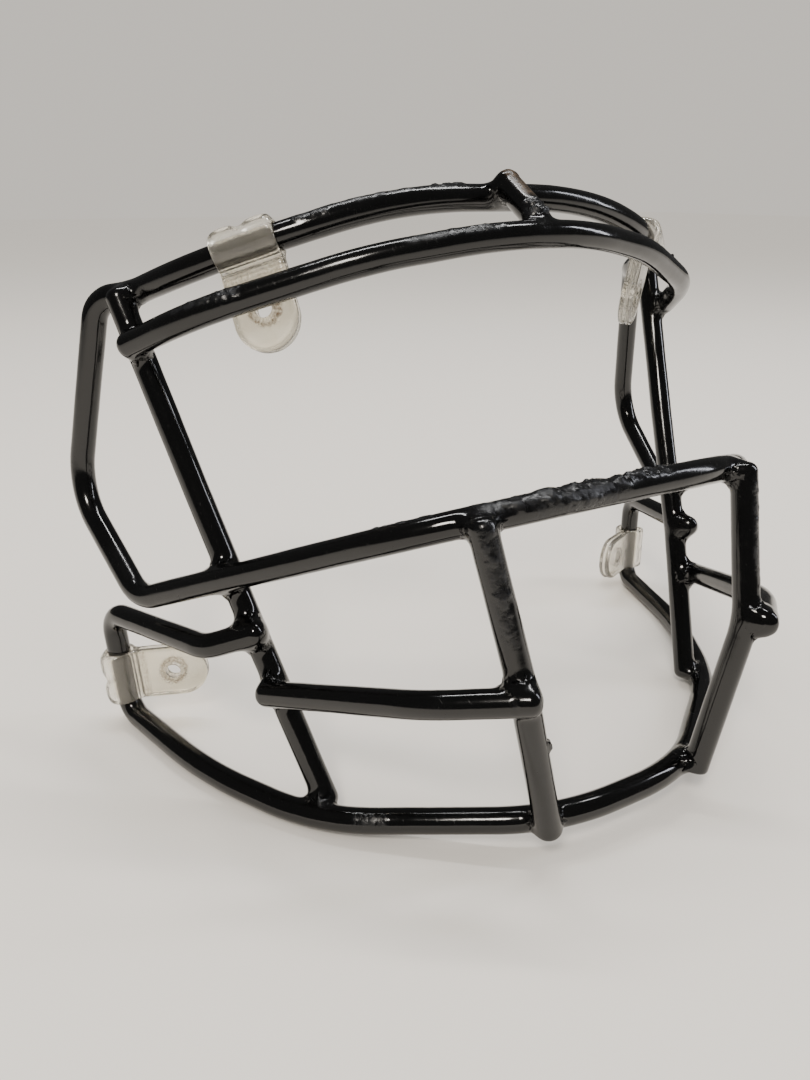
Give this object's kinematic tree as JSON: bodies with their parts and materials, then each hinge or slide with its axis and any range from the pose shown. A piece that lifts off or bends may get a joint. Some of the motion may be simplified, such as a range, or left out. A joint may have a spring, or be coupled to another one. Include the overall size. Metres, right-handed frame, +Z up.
{
  "type": "football facemask",
  "caption": "Welded wire face guard for an American football helmet, dipped in black vinyl, with clear loop straps that fasten it to the helmet shell",
  "frame": {"origin": "under the middle of the part, on the surface that it stands on, in the cage's middle plane", "axes": "+Z up with the cage standing on its chin bar, +X to the wearer's left, the wearer looks along -Y"},
  "size_m": [0.2614, 0.163, 0.1905],
  "materials": {
    "steel_wire": "drawn quarter-inch steel wire, cross-welded",
    "vinyl_dip": "hot-dipped black vinyl, glossy, scuffed at the nose and brow",
    "clear_strap": "moulded clear plastic, slightly yellowed and clouded"
  },
  "bodies": {
    "cage": {"eye_loop_wire": "steel_wire", "brow_bar_wire": "steel_wire", "chin_bar_wire": "steel_wire", "centre_link_wire": "steel_wire", "left_side_upright_wire": "steel_wire", "right_side_upright_wire": "steel_wire", "left_mouth_upright_wire": "steel_wire", "right_mouth_upright_wire": "steel_wire", "left_mid_bar_wire": "steel_wire", "right_mid_bar_wire": "steel_wire", "eye_loop_coat": "vinyl_dip", "brow_bar_coat": "vinyl_dip", "chin_bar_coat": "vinyl_dip", "centre_link_coat": "vinyl_dip", "left_side_upright_coat": "vinyl_dip", "right_side_upright_coat": "vinyl_dip", "left_mouth_upright_coat": "vinyl_dip", "right_mouth_upright_coat": "vinyl_dip", "left_mid_bar_coat": "vinyl_dip", "right_mid_bar_coat": "vinyl_dip"},
    "left_upper_strap": {"left_upper_strap": "clear_strap"},
    "right_upper_strap": {"right_upper_strap": "clear_strap"},
    "left_lower_strap": {"left_lower_strap": "clear_strap"},
    "right_lower_strap": {"right_lower_strap": "clear_strap"}
  },
  "joints": [
    {"name": "left_upper_strap_swing", "type": "hinge", "parent": "cage", "child": "left_upper_strap", "pos_m": [0.08191, 0.03037, 0.16582], "axis": [0.7395, 0.592, -0.3204], "range_deg": [-20, 266]},
    {"name": "right_upper_strap_swing", "type": "hinge", "parent": "cage", "child": "right_upper_strap", "pos_m": [-0.07577, 0.02598, 0.16834], "axis": [0.8014, -0.5107, 0.3115], "range_deg": [0, 290]},
    {"name": "left_lower_strap_swing", "type": "hinge", "parent": "cage", "child": "left_lower_strap", "pos_m": [0.12304, 0.06059, 0.01937], "axis": [0.0324, 0.0834, 0.996], "continuous": true},
    {"name": "right_lower_strap_swing", "type": "hinge", "parent": "cage", "child": "right_lower_strap", "pos_m": [-0.12304, 0.06059, 0.01937], "axis": [0.0324, -0.0834, -0.996], "continuous": true}
  ]
}
